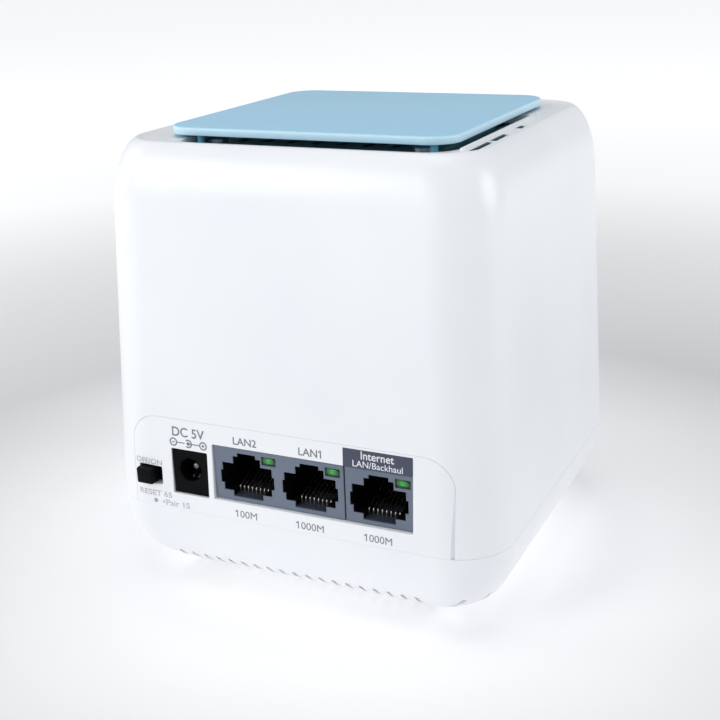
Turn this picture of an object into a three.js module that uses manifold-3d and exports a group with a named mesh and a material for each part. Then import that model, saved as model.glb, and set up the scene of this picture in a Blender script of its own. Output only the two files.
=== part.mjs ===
// Mesh wifi node: a cube-like casing with a port panel at the rear and a floating vent plate on top.
// Millimetres, +Z up, +Y towards the port panel. The origin is under the middle of the casing,
// on the plane that the rubber feet stand on.
import * as THREE from 'three';
import * as BufferGeometryUtils from 'three/addons/utils/BufferGeometryUtils.js';
import Module from 'manifold-3d';

const wasm = await Module();
wasm.setup();

// ---- Driving dimensions -------------------------------------------------------------------
const FOOT_PROUD = 0.8; // the feet lift the casing by this much
const GAP = 0.3; // clearance between neighbouring pieces
const WALL = 2.0;

// Casing, in its own frame: z = 0 is its underside.
const MID_HALF_X = 46.7; // half widths at MID_Z
const MID_HALF_Y = 46.1;
const MID_Z = 50;
const DRAFT = 0.041; // the sides widen downwards by this much for each mm
const CORNER_R = 12.7;
const BOWL_R = 19.4; // the rounding between the sides and the underside
const TOP_START_Z = 87.5; // where the sides start to curve in to the top
const TOP_RISE = 14; // the height of that rounding, a quarter ellipse
const TOP_REACH = 5.5; // and how far it draws the sides in
const CREST_Z = 101.2; // where it stops, in a crease
const TOP_SURFACE_Z = 100.8; // the top inside the crease
const SEAM_Z = 19.5; // the joint between the base and the upper casing

// Top opening and plate
const WELL_HALF_X = 34.7;
const WELL_HALF_Y = 36.3;
const WELL_R = 7;
const PLATE_HALF_X = 33.4;
const PLATE_HALF_Y = 32.3;
const PLATE_R = 6.4;
const PLATE_Z = [101.4, 103.2];
const VENT_FRAME_Z = [96.2, 98.5];
const VENT_PITCH = 6.1;

// Port panel
const PANEL_HALF_X = 38.9;
const PANEL_TOP_Z = 41.3;
const PANEL_R = 7;
const MODULE_W = 15.8; // one RJ45 module
const JACK_X = 17.6; // the +X side of the jack block
const JACK_Z = [23.8, 36.4];
const JACK_Y = [29.8, 46.3];
const CAVITY_DEPTH = 12.5;
const CONTACT_PITCH = 1.016;
const PORT_X = [9.45, -5.9, -22.0]; // centres of the three sockets
const DC_X = [19.3, 28.3];
const DC_Z = [23.7, 34.1];
const DC_HOLE = { x: 23.8, z: 29.5, r: 2.75, depth: 9 };
const SWITCH_WINDOW = { x: [31.3, 37.4], z: [24.9, 29.2] };
const KNOB = { x: [33.0, 37.1], z: [25.2, 28.9], y: [41.6, 48.7] };
const RESET = { x: 33.5, z: 20.7, r: 0.6 };

// Boards and chassis
const BOARD_Z = [21.7, 23.3];
const BOARD_HALF_X = 40;
const BOARD_Y = [-38, 43];
const COLUMN_XY = 24.5; // chassis columns, base screws and feet stand on this square
const COLUMN_R = 3.5;
const COLUMN_Z = [8.3, 95.9];
const FOOT_R = 4.5;
const BOARD_SCREW_SPOTS = [[-34.5, -31], [34.5, -31], [-36, 8], [36, 8]];
const CORNERS = [[-1, -1], [1, -1], [-1, 1], [1, 1]];

// ---- Materials ------------------------------------------------------------------------------
const plastic = (color, roughness = 0.4) => new THREE.MeshStandardMaterial({ color, roughness, metalness: 0 });
const metal = (color, roughness = 0.3) => new THREE.MeshStandardMaterial({ color, roughness, metalness: 1 });
const WHITE = plastic(0xf1f3f7, 0.35);
const BLUE = plastic(0xa1c8df, 0.3);
const SLATE = plastic(0x77839b, 0.45);
const BLACK = plastic(0x14151b, 0.4);
const GREEN = plastic(0x1c8a3a, 0.25);
const CLEAR = plastic(0xdfe8ee, 0.2);
const FR4 = plastic(0x1f5c3a, 0.5);
const FRAME_GREY = plastic(0xb9bec4, 0.55);
const PAD_GREY = plastic(0x9aa7b5, 0.8);
const RUBBER = plastic(0x3a3b3e, 0.85);
const STEEL = metal(0xb8bcc2);
const GOLD = metal(0xd8bd79, 0.25);
const ALUMINIUM = metal(0xc6c9cc, 0.4);

// ---- Solids ---------------------------------------------------------------------------------
function solidOf(geometry) {
  const bare = geometry.index ? geometry.toNonIndexed() : geometry;
  bare.deleteAttribute('normal');
  bare.deleteAttribute('uv');
  const merged = BufferGeometryUtils.mergeVertices(bare, 1e-4);
  return new wasm.Manifold(
    new wasm.Mesh({
      numProp: 3,
      vertProperties: new Float32Array(merged.attributes.position.array),
      triVerts: new Uint32Array(merged.index.array),
    }),
  );
}

function geometryOf(solid) {
  const mesh = solid.getMesh();
  const geometry = new THREE.BufferGeometry();
  geometry.setAttribute('position', new THREE.BufferAttribute(mesh.vertProperties, 3));
  geometry.setIndex(new THREE.BufferAttribute(mesh.triVerts, 1));
  return geometry;
}

const union = (...solids) => solids.reduce((whole, next) => whole.add(next));
const cut = (solid, ...tools) => tools.reduce((rest, tool) => rest.subtract(tool), solid);

function box([x0, x1], [y0, y1], [z0, z1]) {
  const geometry = new THREE.BoxGeometry(x1 - x0, y1 - y0, z1 - z0);
  return solidOf(geometry.translate((x0 + x1) / 2, (y0 + y1) / 2, (z0 + z1) / 2));
}

function cylinderZ(x, y, r, [z0, z1], sides = 16) {
  const geometry = new THREE.CylinderGeometry(r, r, z1 - z0, sides).rotateX(Math.PI / 2);
  return solidOf(geometry.translate(x, y, (z0 + z1) / 2));
}

function cylinderY(x, z, r, [y0, y1], sides = 16) {
  const geometry = new THREE.CylinderGeometry(r, r, y1 - y0, sides);
  return solidOf(geometry.translate(x, (y0 + y1) / 2, z));
}

// A rounded rectangle as a three.js shape, centred on the origin.
function roundedShape(halfX, halfY, r) {
  const shape = new THREE.Shape();
  shape.moveTo(halfX, r - halfY);
  shape.lineTo(halfX, halfY - r);
  shape.absarc(halfX - r, halfY - r, r, 0, Math.PI / 2, false);
  shape.absarc(r - halfX, halfY - r, r, Math.PI / 2, Math.PI, false);
  shape.absarc(r - halfX, r - halfY, r, Math.PI, 1.5 * Math.PI, false);
  shape.absarc(halfX - r, r - halfY, r, 1.5 * Math.PI, 2 * Math.PI, false);
  return shape;
}

function slab(halfX, halfY, r, [z0, z1], curveSegments = 6) {
  const options = { depth: z1 - z0, bevelEnabled: false, curveSegments };
  return solidOf(new THREE.ExtrudeGeometry(roundedShape(halfX, halfY, r), options).translate(0, 0, z0));
}

// A shape drawn in X and Z, carried along Y.
function prismY(shape, [y0, y1], curveSegments = 6) {
  const options = { depth: y1 - y0, bevelEnabled: false, curveSegments };
  return solidOf(new THREE.ExtrudeGeometry(shape, options).rotateX(Math.PI / 2).translate(0, y1, 0));
}

// A shape drawn in Y and Z, carried along X.
function prismX(points, [x0, x1]) {
  const shape = new THREE.Shape(points.map(([y, z]) => new THREE.Vector2(y, z)));
  const geometry = new THREE.ExtrudeGeometry(shape, { depth: x1 - x0, bevelEnabled: false });
  return solidOf(geometry.rotateX(Math.PI / 2).rotateZ(Math.PI / 2).translate(x0, 0, 0));
}

// A closed skin through rings of equal point counts, listed from the lowest to the highest.
function loft(rings) {
  const count = rings[0].length;
  const positions = rings.flatMap((ring) => ring.flatMap((p) => [p.x, p.y, p.z]));
  const index = [];
  for (let level = 0; level + 1 < rings.length; level += 1) {
    for (let i = 0; i < count; i += 1) {
      const a = level * count + i;
      const b = level * count + ((i + 1) % count);
      index.push(a, b, b + count, a, b + count, a + count);
    }
  }
  const lastRing = (rings.length - 1) * count;
  for (let i = 1; i + 1 < count; i += 1) {
    index.push(0, i + 1, i);
    index.push(lastRing, lastRing + i, lastRing + i + 1);
  }
  const geometry = new THREE.BufferGeometry();
  geometry.setAttribute('position', new THREE.Float32BufferAttribute(positions, 3));
  geometry.setIndex(index);
  return solidOf(geometry);
}

// ---- Casing surfaces --------------------------------------------------------------------------
// How far the bottom and top roundings draw the side in at height z, for a skin `inset` inside.
function roundingInset(z, inset) {
  const bowl = BOWL_R - inset;
  const bowlTop = BOWL_R;
  if (z < bowlTop) {
    return bowl - Math.sqrt(Math.max(bowl ** 2 - (bowlTop - z) ** 2, 0));
  }
  const climb = Math.min(Math.max((z - TOP_START_Z) / (TOP_RISE - inset), 0), 1);
  return TOP_REACH * (1 - Math.sqrt(1 - climb ** 2));
}

function casingHalf(midHalf, z, inset) {
  return midHalf + DRAFT * (MID_Z - z) - inset - roundingInset(z, inset);
}

function casingRing(z, inset) {
  const halfX = casingHalf(MID_HALF_X, z, inset);
  const halfY = casingHalf(MID_HALF_Y, z, inset);
  const r = CORNER_R - inset - 0.5 * roundingInset(z, inset);
  const steps = 6;
  const ring = [];
  for (let corner = 0; corner < 4; corner += 1) {
    const signX = corner === 0 || corner === 3 ? 1 : -1;
    const signY = corner < 2 ? 1 : -1;
    for (let step = 0; step <= steps; step += 1) {
      const angle = ((corner + step / steps) * Math.PI) / 2;
      const x = signX * (halfX - r) + r * Math.cos(angle);
      const y = signY * (halfY - r) + r * Math.sin(angle);
      ring.push(new THREE.Vector3(x, y, z));
    }
  }
  return ring;
}

// The casing's solid, `inset` inside its outer skin and ending at topZ.
function casingSolid(inset, topZ) {
  const levels = [];
  for (let step = 0; step <= 6; step += 1) {
    const angle = ((step / 6) * Math.PI) / 2;
    levels.push(BOWL_R - (BOWL_R - inset) * Math.cos(angle));
  }
  const rise = TOP_RISE - inset;
  const lastAngle = Math.asin((topZ - TOP_START_Z) / rise);
  for (let step = 0; step <= 5; step += 1) {
    levels.push(TOP_START_Z + rise * Math.sin((step / 5) * lastAngle));
  }
  return loft(levels.map((z) => casingRing(z, inset)));
}

const outerSolid = casingSolid(0, CREST_Z);
const innerSolid = casingSolid(WALL, TOP_SURFACE_Z - WALL);
const casing = outerSolid.subtract(innerSolid);

// The port panel's outline in X and Z, drawn in by `inset` on the sides and top.
function panelShape(inset) {
  const half = PANEL_HALF_X - inset;
  const top = PANEL_TOP_Z - inset;
  const bottom = SEAM_Z + (inset > 0 ? GAP / 2 : -1);
  const shape = new THREE.Shape();
  shape.moveTo(-half, bottom);
  shape.lineTo(half, bottom);
  shape.lineTo(half, top - PANEL_R);
  shape.absarc(half - PANEL_R, top - PANEL_R, PANEL_R, 0, Math.PI / 2, false);
  shape.absarc(PANEL_R - half, top - PANEL_R, PANEL_R, Math.PI / 2, Math.PI, false);
  return shape;
}

// ---- Casing pieces ----------------------------------------------------------------------------
// The top opening is the same after half a turn: two opposite corners are filled in.
function wellTool() {
  const z = [94, 104];
  const whole = slab(WELL_HALF_X, WELL_HALF_Y, WELL_R, z);
  const fills = [1, -1].map((side) => {
    const along = (a, b) => [side * a, side * b].sort((p, q) => p - q);
    return box(along(27.6, 50), along(16, 50), z);
  });
  return cut(whole, ...fills);
}

// Air slots outside the raised rib, along both sides of the top.
function topSideSlots() {
  const spans = [[21.6, 32.6], [11.7, 20.3], [-0.5, 3.5]];
  return [1, -1].flatMap((side) =>
    spans.map(([y0, y1]) => {
      const yRange = [-side * y0, -side * y1].sort((p, q) => p - q);
      const xRange = [side * 36.9, side * 38.4].sort((p, q) => p - q);
      return box(xRange, yRange, [95, 103]);
    }),
  );
}

function sideRibs() {
  const rib = (side) => {
    const yRange = [-side * -13, -side * 33].sort((p, q) => p - q);
    const xRange = [side * 35.2, side * 36.3].sort((p, q) => p - q);
    return box(xRange, yRange, [100, CREST_Z + 0.1]);
  };
  return [rib(1), rib(-1)];
}

function upperShell() {
  const sheetZ = [SEAM_Z + GAP / 2, 110];
  const body = casing.intersect(box([-60, 60], [-60, 60], sheetZ));
  const dish = slab(39.2, 38.6, 9, [TOP_SURFACE_Z, 104]);
  const opened = cut(body, dish, wellTool(), ...topSideSlots());
  const ribbed = union(opened, ...sideRibs());
  const lightHole = cylinderY(0, 27, 1.6, [-60, -40]);
  return cut(ribbed, prismY(panelShape(0), [25, 60]), lightHole);
}

function portPanel() {
  const blank = casing.intersect(prismY(panelShape(GAP), [25, 60]));
  const jackEnd = JACK_X - 3 * MODULE_W - 0.3;
  const tools = [
    box([jackEnd - GAP, JACK_X + GAP], [30, 60], [JACK_Z[0] - GAP, JACK_Z[1] + GAP]),
    box([DC_X[0] - GAP, DC_X[1] + GAP], [30, 60], [DC_Z[0] - GAP, DC_Z[1] + GAP]),
    box(SWITCH_WINDOW.x, [30, 60], SWITCH_WINDOW.z),
    cylinderY(RESET.x, RESET.z, RESET.r, [30, 60], 12),
  ];
  return cut(blank, ...tools);
}

// Air slots through the rounded edge of the base: a row at the rear, one at the front,
// and two more that carry the rear row round one corner.
function baseSlots() {
  const count = 19;
  const pitch = 3.31;
  const firstX = 31.1;
  const slots = [];
  for (let i = 0; i < count; i += 1) {
    const x = firstX - i * pitch;
    slots.push(box([x - 0.45, x + 0.45], [33, 42.5], [-1, 9]));
    slots.push(box([-x - 0.45, -x + 0.45], [-42.5, -33], [-1, 9]));
  }
  for (const [x, y, turn] of [[-35.4, 40, 1.05], [-39.5, 35.7, 1.0]]) {
    const slot = new THREE.BoxGeometry(0.9, 9, 10).rotateZ(turn).translate(x, y, 4);
    slots.push(solidOf(slot));
  }
  return slots;
}

function baseShell() {
  const bowl = casing.intersect(box([-60, 60], [-60, 60], [-1, SEAM_Z - GAP / 2]));
  const standoffs = BOARD_SCREW_SPOTS.map(([x, y]) => cylinderZ(x, y, 3.2, [1, BOARD_Z[0] - GAP]));
  const bosses = CORNERS.map(([sx, sy]) => cylinderZ(sx * COLUMN_XY, sy * COLUMN_XY, 4.6, [1, 8]));
  const kept = [...standoffs, ...bosses].map((boss) => boss.intersect(outerSolid));
  const holes = [];
  for (const [sx, sy] of CORNERS) {
    const x = sx * COLUMN_XY;
    const y = sy * COLUMN_XY;
    holes.push(cylinderZ(x, y, FOOT_R + GAP, [-1, 0.8]));
    holes.push(cylinderZ(x, y, 2.6, [-1, 3.6]));
    holes.push(cylinderZ(x, y, 1.6, [-1, 9], 12));
  }
  for (const [x, y] of BOARD_SCREW_SPOTS) {
    holes.push(cylinderZ(x, y, 1.4, [12, 30], 12));
  }
  return cut(union(bowl, ...kept), ...holes, ...baseSlots());
}

// A louvred floor under the plate, screwed to the chassis.
function topVentFrame() {
  const floor = slab(37, 36.9, 8, VENT_FRAME_Z);
  const slots = [];
  for (let i = 0; i < 10; i += 1) {
    const x = (i - 4.5) * VENT_PITCH;
    slots.push(box([x - 1.1, x + 1.1], [-20, 20], [90, 100]));
  }
  const screwHoles = CORNERS.map(([sx, sy]) => cylinderZ(sx * COLUMN_XY, sy * COLUMN_XY, 1.6, [90, 100], 12));
  return cut(floor, ...slots, ...screwHoles);
}

function topPlate() {
  const bevel = 0.5;
  const options = {
    depth: PLATE_Z[1] - PLATE_Z[0] - 2 * bevel,
    bevelSize: bevel,
    bevelThickness: bevel,
    bevelOffset: -bevel,
    bevelSegments: 2,
    curveSegments: 6,
  };
  const shape = roundedShape(PLATE_HALF_X, PLATE_HALF_Y, PLATE_R);
  const plate = solidOf(new THREE.ExtrudeGeometry(shape, options).translate(0, 0, PLATE_Z[0] + bevel));
  const spots = [[25.2, 29.8], [-28.8, 29.8], [-25.2, -29.8], [28.8, -29.8]];
  const posts = spots.map(([x, y]) => cylinderZ(x, y, 0.9, [VENT_FRAME_Z[1] + GAP, PLATE_Z[0] + 0.5], 10));
  return union(plate, ...posts);
}

// ---- Chassis and board --------------------------------------------------------------------------
function innerFrame() {
  const [bottom, top] = COLUMN_Z;
  const columns = CORNERS.map(([sx, sy]) =>
    cylinderZ(sx * COLUMN_XY, sy * COLUMN_XY, COLUMN_R, COLUMN_Z, 12),
  );
  const beams = [];
  for (const z of [58, top - 3]) {
    for (const side of [-1, 1]) {
      const across = [side * COLUMN_XY - 1.5, side * COLUMN_XY + 1.5];
      beams.push(box([-COLUMN_XY, COLUMN_XY], across, [z, z + 3]));
      beams.push(box(across, [-COLUMN_XY, COLUMN_XY], [z, z + 3]));
    }
  }
  const pilots = CORNERS.flatMap(([sx, sy]) => [
    cylinderZ(sx * COLUMN_XY, sy * COLUMN_XY, 1.4, [bottom - 1, bottom + 7], 10),
    cylinderZ(sx * COLUMN_XY, sy * COLUMN_XY, 1.4, [top - 7, top + 1], 10),
  ]);
  return cut(union(...columns, ...beams), ...pilots);
}

function mainBoard() {
  const middleY = (BOARD_Y[0] + BOARD_Y[1]) / 2;
  const halfY = (BOARD_Y[1] - BOARD_Y[0]) / 2;
  const blank = slab(BOARD_HALF_X, halfY, 8, BOARD_Z, 4).translate([0, middleY, 0]);
  const columnHoles = CORNERS.map(([sx, sy]) =>
    cylinderZ(sx * COLUMN_XY, sy * COLUMN_XY, COLUMN_R + 0.6, [20, 26], 12),
  );
  const screwHoles = BOARD_SCREW_SPOTS.map(([x, y]) => cylinderZ(x, y, 1.5, [20, 26], 12));
  return cut(blank, ...columnHoles, ...screwHoles);
}

// A pan-head screw that is driven along -Z (up = 1) or +Z (up = -1); seat is the head's flat side.
function screw(headR, headH, shaftR, shaftL) {
  const profile = [
    [0, -shaftL],
    [shaftR * 0.6, -shaftL],
    [shaftR, -shaftL + 0.8],
    [shaftR, 0],
    [headR, 0],
    [headR, headH * 0.6],
    [headR * 0.7, headH],
    [0, headH],
  ];
  const body = new THREE.LatheGeometry(profile.map(([r, z]) => new THREE.Vector2(r, z)), 12);
  const solid = solidOf(body.rotateX(Math.PI / 2));
  const slotLong = headR * 1.1;
  const cross = [
    box([-slotLong / 2, slotLong / 2], [-0.3, 0.3], [headH * 0.5, headH + 1]),
    box([-0.3, 0.3], [-slotLong / 2, slotLong / 2], [headH * 0.5, headH + 1]),
  ];
  return geometryOf(cut(solid, ...cross));
}

// ---- Sockets -------------------------------------------------------------------------------------
// The mouth of an RJ45 socket with its latch recess at the top, in X and Z about its centre line.
function socketTools(x) {
  const [back, front] = [JACK_Y[1] - CAVITY_DEPTH, JACK_Y[1] + 1];
  return [
    box([x - 6.15, x + 6.15], [back, front], [26.15, 32.7]),
    box([x - 3.7, x + 3.7], [back, front], [24.8, 27]),
    box([x - 3.4, x + 3.4], [back, front], [32, 34.45]),
    box([x - 2.25, x + 2.25], [back, front], [34, 35.3]),
  ];
}

const ledSpan = (x) => [x - 7.45, x - 4.0];
const LED_Z = [33.4, 35.4];
const LED_DEPTH = 5;

function jackHousing(xRange, ports) {
  const block = box(xRange, JACK_Y, JACK_Z);
  const ledPockets = ports.map((x) => box(ledSpan(x), [JACK_Y[1] - LED_DEPTH, JACK_Y[1] + 1], LED_Z));
  return cut(block, ...ports.flatMap(socketTools), ...ledPockets);
}

// Eight spring wires that rise towards the back of the socket, joined by their carrier bar.
function contactComb(x) {
  const back = JACK_Y[1] - CAVITY_DEPTH + GAP;
  const wires = [];
  for (let i = 0; i < 8; i += 1) {
    const wireX = x + (i - 3.5) * CONTACT_PITCH * 0.98;
    const bend = [
      [back, 26.6],
      [back, 26.2],
      [back + 8.5, 26.45],
      [back + 2.6, 29.2],
      [back + 2.3, 28.95],
      [back + 7.0, 26.75],
    ];
    wires.push(prismX(bend, [wireX - 0.2, wireX + 0.2]));
  }
  return union(box([x - 3.9, x + 3.9], [back, back + 0.8], [26.45, 27.3]), ...wires);
}

function led(x) {
  const [x0, x1] = ledSpan(x);
  const yRange = [JACK_Y[1] - LED_DEPTH + GAP, JACK_Y[1]];
  return box([x0 + GAP, x1 - GAP], yRange, [LED_Z[0] + GAP, LED_Z[1] - GAP]);
}

function dcJackHousing() {
  const block = box(DC_X, [35.5, 46.7], DC_Z);
  return cut(block, cylinderY(DC_HOLE.x, DC_HOLE.z, DC_HOLE.r, [46.7 - DC_HOLE.depth, 50], 20));
}

const dcJackPin = () => cylinderY(DC_HOLE.x, DC_HOLE.z, 0.95, [38.0, 46.0], 12);

const dcJackSpring = () => box([DC_HOLE.x - 0.6, DC_HOLE.x + 0.6], [38.2, 45.2], [27.15, 27.5]);

// ---- Switches --------------------------------------------------------------------------------------
function powerSwitchCase() {
  const block = box([30.4, 38.4], [38, 44.2], [BOARD_Z[1] + GAP, 30]);
  const channel = box([31.0, 37.4], [41.3, 50], [KNOB.z[0] + 0.6 - GAP, KNOB.z[1] - 0.6 + GAP]);
  return cut(block, channel);
}

// A grip outside the panel on a thinner tongue that runs into the switch.
function powerSwitchKnob() {
  const grip = box(KNOB.x, [44.5, KNOB.y[1]], KNOB.z);
  const tongue = box(KNOB.x, [KNOB.y[0], 45], [KNOB.z[0] + 0.6, KNOB.z[1] - 0.6]);
  return union(grip, tongue);
}

function resetSwitchCase() {
  const block = box([30.5, 36.5], [38.5, 42], [18.6, BOARD_Z[0] - GAP]);
  return cut(block, cylinderY(RESET.x, 20, 1.1, [40.5, 43]));
}

const resetSwitchPlunger = () => cylinderY(RESET.x, 20, 0.8, [41.2, 43.4], 12);

// ---- Parts on the board ------------------------------------------------------------------------------
const ON_BOARD = BOARD_Z[1] + GAP;

function heatSink() {
  const base = box([-15, 15], [-23, 7], [26.2, 28.7]);
  const fins = [];
  for (let i = 0; i < 7; i += 1) {
    const x = -14.4 + i * 4.6;
    fins.push(box([x - 0.6, x + 0.6], [-23, 7], [28.5, 40.5]));
  }
  return union(base, ...fins);
}

const boardBox = (x, y, height) => box(x, y, [ON_BOARD, ON_BOARD + height]);

// A radiator strip on a thin board, clipped to a side of the chassis.
function antenna(side, alongX) {
  const thickness = [COLUMN_XY + COLUMN_R + GAP, COLUMN_XY + COLUMN_R + GAP + 0.8];
  const across = thickness.map((value) => side * value).sort((p, q) => p - q);
  const width = [-7, 7];
  return alongX ? box(width, across, [46, 88]) : box(across, width, [46, 88]);
}

function foot() {
  const profile = [
    [0, -FOOT_PROUD],
    [FOOT_R - 0.3, -FOOT_PROUD],
    [FOOT_R, -FOOT_PROUD + 0.3],
    [FOOT_R, 0.5],
    [0, 0.5],
  ];
  return new THREE.LatheGeometry(profile.map(([r, z]) => new THREE.Vector2(r, z)), 16).rotateX(Math.PI / 2);
}

// The front light is a clear pipe from an LED on the board's front edge.
const statusLightPipe = () => cylinderY(0, 27, 1.3, [-46.9, -38.6], 12);
const statusLed = () => box([-1.6, 1.6], [-37.8, -35.4], [ON_BOARD, 28.6]);

// ---- Assembly ------------------------------------------------------------------------------------------
const group = new THREE.Group();
const body = new THREE.Group();
body.position.z = FOOT_PROUD;
group.add(body);

function addGeometry(name, geometry, material) {
  const mesh = new THREE.Mesh(geometry, material);
  mesh.name = name;
  body.add(mesh);
  return mesh;
}

const add = (name, solid, material) => addGeometry(name, geometryOf(solid), material);

add('upper_shell', upperShell(), WHITE);
add('port_panel', portPanel(), WHITE);
add('base_shell', baseShell(), WHITE);
add('top_vent_frame', topVentFrame(), WHITE);
add('top_plate', topPlate(), BLUE);
add('inner_frame', innerFrame(), FRAME_GREY);
add('main_board', mainBoard(), FR4);

const lanEnd = JACK_X - 2 * MODULE_W;
add('lan_jack_housing', jackHousing([lanEnd, JACK_X], PORT_X.slice(0, 2)), SLATE);
add('internet_jack_housing', jackHousing([lanEnd - GAP - MODULE_W, lanEnd - GAP], PORT_X.slice(2)), SLATE);
['lan2', 'lan1', 'internet'].forEach((port, i) => {
  add(`${port}_contacts`, contactComb(PORT_X[i]), GOLD);
  add(`${port}_led`, led(PORT_X[i]), GREEN);
});

add('dc_jack_housing', dcJackHousing(), BLACK);
add('dc_jack_pin', dcJackPin(), STEEL);
add('dc_jack_spring', dcJackSpring(), STEEL);
add('power_switch_case', powerSwitchCase(), BLACK);
add('power_switch_knob', powerSwitchKnob(), BLACK);
add('reset_switch_case', resetSwitchCase(), BLACK);
add('reset_switch_plunger', resetSwitchPlunger(), FRAME_GREY);

add('main_chip', boardBox([-8.5, 8.5], [-16.5, 0.5], 1.4), BLACK);
add('thermal_pad', box([-8, 8], [-16, 0], [25.3, 25.9]), PAD_GREY);
add('heat_sink', heatSink(), ALUMINIUM);
add('radio_shield_can', boardBox([-37, -18], [-17, 3], 3), STEEL);
add('memory_chip', boardBox([20, 29], [-16, -3], 1.2), BLACK);
add('power_inductor', boardBox([24, 31], [6, 13], 4), BLACK);
add('power_capacitor', cylinderZ(34, 22, 3.2, [ON_BOARD, ON_BOARD + 8], 16), ALUMINIUM);
[9.4, -4.2, -17.8].forEach((x, i) => {
  add(`port_transformer_${i + 1}`, boardBox([x - 6, x + 6], [12, 19.5], 4.5), BLACK);
});

[[1, false], [-1, false], [1, true], [-1, true]].forEach(([side, alongX], i) => {
  add(`antenna_${i + 1}`, antenna(side, alongX), FR4);
});

add('status_light_pipe', statusLightPipe(), CLEAR);
add('status_led', statusLed(), GREEN);

CORNERS.forEach(([sx, sy], i) => {
  const x = sx * COLUMN_XY;
  const y = sy * COLUMN_XY;
  addGeometry(`rubber_foot_${i + 1}`, foot(), RUBBER).position.set(x, y, 0);
  const baseScrew = addGeometry(`base_screw_${i + 1}`, screw(2.2, 1.8, 1.1, 10), STEEL);
  baseScrew.rotation.x = Math.PI;
  baseScrew.position.set(x, y, 3.3);
  addGeometry(`frame_screw_${i + 1}`, screw(2.3, 1.6, 1.1, 7), STEEL)
    .position.set(x, y, VENT_FRAME_Z[1] + GAP);
  const [boardX, boardY] = BOARD_SCREW_SPOTS[i];
  addGeometry(`board_screw_${i + 1}`, screw(2.4, 1.7, 1.1, 9), STEEL)
    .position.set(boardX, boardY, ON_BOARD);
});

export default group;
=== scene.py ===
# Mesh wifi node: the looks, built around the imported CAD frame.
# Meshes are drawn in millimetres in the casing's own frame (z = 0 is the casing's underside) and
# moved into the frame's metres at the end, as the CAD model does.
import math

import bmesh
import bpy
from mathutils import Matrix, Vector


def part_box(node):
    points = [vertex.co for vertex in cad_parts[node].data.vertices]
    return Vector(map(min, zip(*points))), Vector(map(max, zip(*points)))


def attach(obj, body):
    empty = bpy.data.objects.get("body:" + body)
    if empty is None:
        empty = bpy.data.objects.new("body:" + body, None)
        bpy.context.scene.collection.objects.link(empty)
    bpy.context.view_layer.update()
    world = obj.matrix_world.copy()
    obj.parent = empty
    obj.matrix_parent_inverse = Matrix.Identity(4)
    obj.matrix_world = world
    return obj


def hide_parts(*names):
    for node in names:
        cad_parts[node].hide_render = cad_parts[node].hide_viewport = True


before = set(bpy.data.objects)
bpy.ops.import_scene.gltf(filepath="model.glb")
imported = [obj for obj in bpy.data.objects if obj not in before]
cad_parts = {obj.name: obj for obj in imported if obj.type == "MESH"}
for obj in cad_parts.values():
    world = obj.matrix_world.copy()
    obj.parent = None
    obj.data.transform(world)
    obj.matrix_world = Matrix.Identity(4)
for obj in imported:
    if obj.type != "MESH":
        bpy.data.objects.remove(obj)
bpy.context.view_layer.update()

MM = 0.001
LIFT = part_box("base_shell")[0].z / MM  # the feet hold the casing this far off the ground

# ---- Driving dimensions, in millimetres ----------------------------------------------------------
MID_HALF_X, MID_HALF_Y, MID_Z = 46.7, 46.1, 50.0
DRAFT = 0.041
CORNER_R = 12.7
BOWL_R = 19.4
TOP_START_Z, TOP_RISE, TOP_REACH = 87.5, 14.0, 5.5
CREST_Z = 101.2
TOP_SURFACE_Z = 100.8
SEAM_Z = 19.5
WALL = 2.0

PANEL_HALF_X = 38.9
PANEL_TOP_Z = 41.3
PANEL_R = 7.0
PANEL_RIM, PANEL_RIM_THICK = 1.5, 0.9
PANEL_SIDE_GAP, PANEL_TOP_GAP = 0.05, 0.04
PANEL_BEVEL = ((18.0, 0.95), (26.0, 0.65), (33.0, 0.35), (36.5, 0.15))  # height, width
PANEL_BEVEL_SLOPE = 1.2

WELL_HALF_X, WELL_HALF_Y, WELL_R = 34.7, 36.3, 7.0
WELL_FILL_X, WELL_FILL_Y = 27.6, 16.0  # where the filled corners start
PLATE_HALF_X, PLATE_HALF_Y, PLATE_R = 33.4, 32.3, 6.2
PLATE_Z = (101.4, 103.2)
PLATE_EDGE = 0.55
PLATE_POSTS = ((25.2, 29.8), (-28.8, 29.8), (-25.2, -29.8), (28.8, -29.8))
POST_R = 0.8
RIB_X = (35.2, 36.3)
RIB_Y = (-13, 33)
SLOT_X = (36.9, 38.4)
SLOT_SPANS = ((21.6, 32.6), (11.7, 20.3), (-0.5, 3.5))
VENT_FLOOR_Z = (96.2, 98.5)
VENT_SLOTS = 10
VENT_PITCH = 6.1
VENT_SLOT_HALF_X, VENT_SLOT_HALF_Y = 1.1, 20

BASE_SLOTS = 19
BASE_SLOT_PITCH = 3.31
BASE_SLOT_FIRST_X = 31.1
BASE_SLOT_HALF = 0.5
BASE_SLOT_Y = (33.0, 42.9)
CORNER_SLOTS = ((-35.4, 40.0, 1.05), (-39.5, 35.7, 1.0))  # x, y and turn in radians
CORNER_SLOT_HALF = 0.55

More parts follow.
